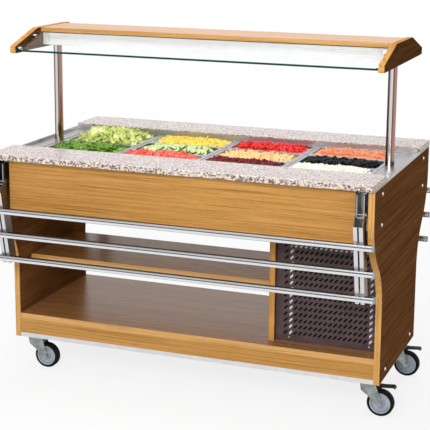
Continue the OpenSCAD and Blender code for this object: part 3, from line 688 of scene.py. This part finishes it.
def food(name, tones, scale=60, roughness=0.35, wet=0.3, texture=0.2, gloss=0.25):
    """Food colour that varies over the screen tones given, moist and slightly uneven.

    scale is the colour's waves per metre, wet the strength of the coat, texture in millimetres.
    """
    g = Graph(name)
    stops = [(0.3 + 0.4 * i / max(1, len(tones) - 1), tone(*c)) for i, c in enumerate(tones)]
    g.shader(Base_Color=g.ramp(g.noise(scale, 4, 0.6), stops), Roughness=roughness,
             Coat_Weight=wet, Coat_Roughness=0.15, Specular_IOR_Level=gloss)
    g.bump(g.noise(700, 3), texture * MM)
    return g.mat


def size(low, high):
    return rng.uniform(low, high) * MM


def mixed(*makers):
    """A maker that picks one of several at random; each comes with its first material's number."""
    def make():
        first, maker = makers[rng.integers(len(makers))]
        points, faces, used = maker()
        return points, faces, [first + u for u in used]
    return make


lettuce_green = food("lettuce_leaf", [(176, 204, 88), (226, 234, 146), (246, 248, 206)],
                     26, 0.5, 0.0)
rocket_green = food("rocket_leaf", [(62, 108, 30), (114, 160, 60), (166, 196, 98)], 46, 0.5, 0.0)
corn_yellow = food("sweetcorn", [(254, 224, 84), (255, 242, 134), (255, 249, 190)], 90, 0.45, 0.0)
strip_orange = food("yellow_pepper", [(250, 214, 60), (254, 232, 110)], 40, 0.4, 0.1)
cucumber_flesh = food("cucumber_flesh", [(196, 212, 136), (224, 232, 174)], 150, 0.5, 0.0)
cucumber_rind = food("cucumber_rind", [(38, 84, 30), (76, 128, 54)], 90, 0.45, 0.0)
cucumber_core = food("cucumber_core", [(212, 222, 156), (236, 240, 200)], 260, 0.5, 0.0)
tomato_skin = food("tomato_skin", [(214, 44, 38), (232, 84, 72)], 30, 0.3, 0.2, 0.02)
tomato_flesh = food("tomato_flesh", [(226, 80, 72), (240, 122, 110), (246, 164, 146)],
                    190, 0.4, 0.1)
pepper_red = food("red_pepper", [(214, 26, 26), (236, 62, 50)], 40, 0.28, 0.3, 0.05)
pasta_beige = food("pasta", [(242, 198, 128), (252, 222, 170)], 80, 0.5, 0.0)
chickpea_beige = food("chickpea", [(240, 200, 134), (248, 220, 168)], 120, 0.5, 0.0)
bean_red = food("kidney_bean", [(84, 14, 24), (132, 34, 46)], 60, 0.35, 0.08, 0.05, 0.12)
carrot_orange = food("grated_carrot", [(251, 136, 88), (254, 172, 130), (255, 198, 164)],
                     70, 0.5, 0.0)
olive_black = food("black_olive", [(8, 7, 9), (22, 18, 22)], 50, 0.3, 0.04, 0.05, 0.08)
cheese_white = food("white_cheese", [(228, 223, 206), (242, 239, 227)], 90, 0.6, 0.0, 0.3)

heap = Heap("pan_lettuce")
heap.fill(0)
heap.scatter(lambda: leaf(size(58, 84), size(54, 76), size(4, 8)), 40, 42 * MM, (-2, 10), flat=True)
heap.scatter(lambda: leaf(size(30, 36), size(26, 34), size(2, 5)), 90, 18 * MM, (0, 6), flat=True)
heap.scatter(lambda: leaf(size(42, 54), size(38, 50), size(3, 6)), 40, 27 * MM, (-1, 6), flat=True)
heap.scatter(lambda: leaf(size(46, 66), size(40, 56), size(3, 7)), 16, 66 * MM, (2, 9), flat=True)
heap.build([lettuce_green])

heap = Heap("pan_rocket")
heap.fill(0)
heap.scatter(lambda: leaf(size(50, 76), size(16, 26), size(1, 3), 3),
             110, 38 * MM, (-2, 8), flat=True)
heap.scatter(lambda: leaf(size(44, 66), size(14, 22), size(1, 3), 3),
             50, 60 * MM, (2, 10), flat=True)
heap.build([rocket_green])

heap = Heap("pan_corn", 5)
heap.fill(0)
heap.scatter(mixed((0, lambda: blob(size(9, 11), size(7, 9), size(5, 6), 0, 7, 4)),
                   (1, lambda: strip(size(18, 30), size(7, 10), size(3, 4.5), 0.9))),
             520, 12 * MM, (-1, 4))
heap.build([corn_yellow, strip_orange])

heap = Heap("pan_cucumber")
heap.fill(1)
heap.scatter(lambda: slice_disc(size(20, 25), size(4.5, 6)), 84, 27 * MM, (-2, 7), turn=leaning)
heap.build([cucumber_flesh, cucumber_rind, cucumber_core])

heap = Heap("pan_tomato", 8)
heap.fill(1)
heap.scatter(lambda: wedge(size(20, 25), rng.uniform(0.9, 1.3)), 95, 24 * MM, (-3, 4))
heap.build([tomato_skin, tomato_flesh])

heap = Heap("pan_pepper", 5)
heap.fill(0)
heap.scatter(lambda: strip(size(26, 44), size(8, 12), size(4, 6), rng.uniform(0.6, 2.0), 6, 7),
             150, 24 * MM, (-1, 7))
heap.build([pepper_red])

heap = Heap("pan_pasta")
heap.fill(0)
heap.scatter(mixed((0, lambda: macaroni(size(22, 30), size(4.5, 5.5), size(3, 3.4),
                                        rng.uniform(0.7, 1.4))),
                   (1, lambda: blob(size(9, 11), size(9, 10), size(8, 10), 0.4 * MM))),
             260, 18 * MM, (-1, 6))
heap.build([pasta_beige, chickpea_beige])

heap = Heap("pan_beans", 9)
heap.fill(0)
heap.scatter(lambda: blob(size(14, 18), size(8, 10), size(7, 8), size(1.5, 3)),
             380, 12 * MM, (-1, 5))
heap.build([bean_red])

heap = Heap("pan_carrot", 5)
heap.fill(0)
heap.scatter(lambda: strip(size(26, 48), size(2.4, 3.4), size(1.6, 2.4), rng.uniform(0.3, 1.8)),
             620, 26 * MM, (-1, 8), flat=True)
heap.build([carrot_orange])

heap = Heap("pan_olives")
heap.fill(0)
heap.scatter(lambda: blob(size(21, 25), size(18, 20), size(18, 20), 0, 12, 7),
             150, 15 * MM, (-3, 7))
heap.build([olive_black])

heap = Heap("pan_cheese", 7)
heap.fill(0)
heap.scatter(lambda: dice(size(10, 14)), 330, 12 * MM, (-1, 7))
heap.build([cheese_white], smooth=False)


# ---------- air filter behind the front grille ----------


def tray(name, outline, inside, front_y, back_y, finish):
    """A frame or mat that stands in an upright plane.

    outline and inside are (x0, x1, z0, z1) in millimetres; inside is None for a mat.
    """
    cut, fold = 3 * MM, 1 * MM

    def loop(box, y, inset=0.0):
        x0, x1, z0, z1 = (v * MM for v in box)
        x0, x1, z0, z1 = x0 + inset, x1 - inset, z0 + inset, z1 - inset
        corners = ((x0 + cut, z0), (x1 - cut, z0), (x1, z0 + cut), (x1, z1 - cut),
                   (x1 - cut, z1), (x0 + cut, z1), (x0, z1 - cut), (x0, z0 + cut))
        return [(x, y, z) for x, z in corners]

    rings = [loop(outline, front_y, fold), loop(outline, front_y + fold), loop(outline, back_y)]
    if inside:
        rings += [loop(inside, back_y), loop(inside, front_y)]
    points, faces, _ = skin(rings[::-1], closed=bool(inside))
    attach(new_piece(name, points.tolist(), faces, [finish]), "cabinet")


FILTER_OUTSIDE, FILTER_INSIDE = (372, 688, 240, 607), (384, 677, 252, 598)
MAT_OUTSIDE = (326, 714, 241, 640)
FILTER_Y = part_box("grilles")[0][1] + 3.5 * MM
FILTER_DEPTH, MAT_GAP, MAT_DEPTH = 5 * MM, 1 * MM, 8 * MM

filter_paint = moulded("filter_frame", tone(222, 222, 224), tone(206, 206, 209), 0.4)
tray("filter_frame", FILTER_OUTSIDE, FILTER_INSIDE, FILTER_Y, FILTER_Y + FILTER_DEPTH, filter_paint)
mat_y = FILTER_Y + FILTER_DEPTH + MAT_GAP
filter_foam = moulded("filter_foam", tone(4, 3, 3), tone(12, 10, 10), 0.95, 1.2, 260)
tray("filter_mat", MAT_OUTSIDE, None, mat_y, mat_y + MAT_DEPTH, filter_foam)


# ---------- floor, light and camera ----------


def white_floor():
    """A pale floor that keeps the object's shadow and fades to plain white further out."""
    near, far, glow_share = 2.2, 5.0, 0.8
    radius, count = 40, 96
    g = Graph("floor_white")
    g.shader(Base_Color=grey(0.86), Roughness=0.85, Specular_IOR_Level=0.1)
    reach = g.add("VectorMath", Vector=g.coords)
    reach.operation = "LENGTH"
    faded = g.spread(reach.outputs["Value"], glow_share, 1.0, near, far)
    path = g.tree.nodes.new("ShaderNodeLightPath")
    seen = g.calc("MAXIMUM", path.outputs["Is Glossy Ray"], path.outputs["Is Transmission Ray"])
    seen = g.calc("MAXIMUM", path.outputs["Is Camera Ray"], seen)
    glow = g.add("Emission", Color=grey(1.0), Strength=1.0)
    blend = g.tree.nodes.new("ShaderNodeMixShader")
    g.put(blend.inputs[0], g.calc("MULTIPLY", faded, seen))
    g.put(blend.inputs[1], g.bsdf.outputs[0])
    g.put(blend.inputs[2], glow.outputs[0])
    g.put(g.tree.nodes["Material Output"].inputs["Surface"], blend.outputs[0])
    disc = ring(count, radius, radius, 0).tolist()
    new_piece("floor", disc, [tuple(range(count))], [g.mat])


def white_world(fill):
    """White where it is seen, directly or in metal and glass; fill is its strength as a light."""
    world = bpy.data.worlds.new("studio")
    bpy.context.scene.world = world
    world.use_nodes = True
    nodes, links = world.node_tree.nodes, world.node_tree.links
    nodes.clear()
    path = nodes.new("ShaderNodeLightPath")
    lit, seen = nodes.new("ShaderNodeBackground"), nodes.new("ShaderNodeBackground")
    lit.inputs["Strength"].default_value = fill
    lit.inputs["Color"].default_value = (0.96, 0.98, 1.0, 1)
    seen.inputs["Color"].default_value = (1, 1, 1, 1)
    either, any_of = nodes.new("ShaderNodeMath"), nodes.new("ShaderNodeMath")
    for node in (either, any_of):
        node.operation = "MAXIMUM"
    links.new(path.outputs["Is Glossy Ray"], either.inputs[0])
    links.new(path.outputs["Is Transmission Ray"], either.inputs[1])
    links.new(either.outputs[0], any_of.inputs[0])
    links.new(path.outputs["Is Camera Ray"], any_of.inputs[1])
    blend, out = nodes.new("ShaderNodeMixShader"), nodes.new("ShaderNodeOutputWorld")
    links.new(any_of.outputs[0], blend.inputs[0])
    links.new(lit.outputs[0], blend.inputs[1])
    links.new(seen.outputs[0], blend.inputs[2])
    links.new(blend.outputs[0], out.inputs[0])


AIM = Vector((0, 0, 0.7))
SENSOR = 36  # millimetres


def lamp(name, place, wide, power, mirrored=True):
    """A square lamp aimed at the object; one that isn't mirrored doesn't show in metal or glass."""
    data = bpy.data.lights.new(name, "AREA")
    data.size, data.energy = wide, power
    light = bpy.data.objects.new(name, data)
    light.location = place
    light.rotation_euler = (AIM - Vector(place)).to_track_quat("-Z", "Y").to_euler()
    light.visible_glossy = light.visible_transmission = mirrored
    bpy.context.scene.collection.objects.link(light)


def make_camera(place, yaw, pitch, roll, focal, frame_px, shift):
    """Camera from a fit to the photograph: angles in radians, focal length in its pixels."""
    level = math.cos(pitch)
    forward = Vector((-math.sin(yaw) * level, math.cos(yaw) * level, -math.sin(pitch)))
    right = Vector((math.cos(yaw), math.sin(yaw), 0))
    up = right.cross(forward)
    x = math.cos(roll) * right + math.sin(roll) * up
    y = math.cos(roll) * up - math.sin(roll) * right
    data = bpy.data.cameras.new("camera")
    data.sensor_width = SENSOR
    data.lens = focal / frame_px * SENSOR
    data.shift_y = shift
    camera = bpy.data.objects.new("camera", data)
    camera.matrix_world = Matrix.Translation(place) @ Matrix((x, y, -forward)).transposed().to_4x4()
    bpy.context.scene.collection.objects.link(camera)
    bpy.context.scene.camera = camera


white_floor()
white_world(fill=0.36)
lamp("key", (0.9, -4.3, 2.8), wide=1.4, power=146)
lamp("top", (-0.3, -0.9, 4.6), wide=3.0, power=85)
lamp("rear", (-0.8, 3.6, 3.6), wide=2.4, power=80, mirrored=False)
make_camera(place=(1.7165, -4.5853, 1.841), yaw=0.3595, pitch=0.2079, roll=0.0074,
            focal=1286.66, frame_px=430, shift=-0.1)
bpy.context.scene.view_settings.view_transform = "Standard"
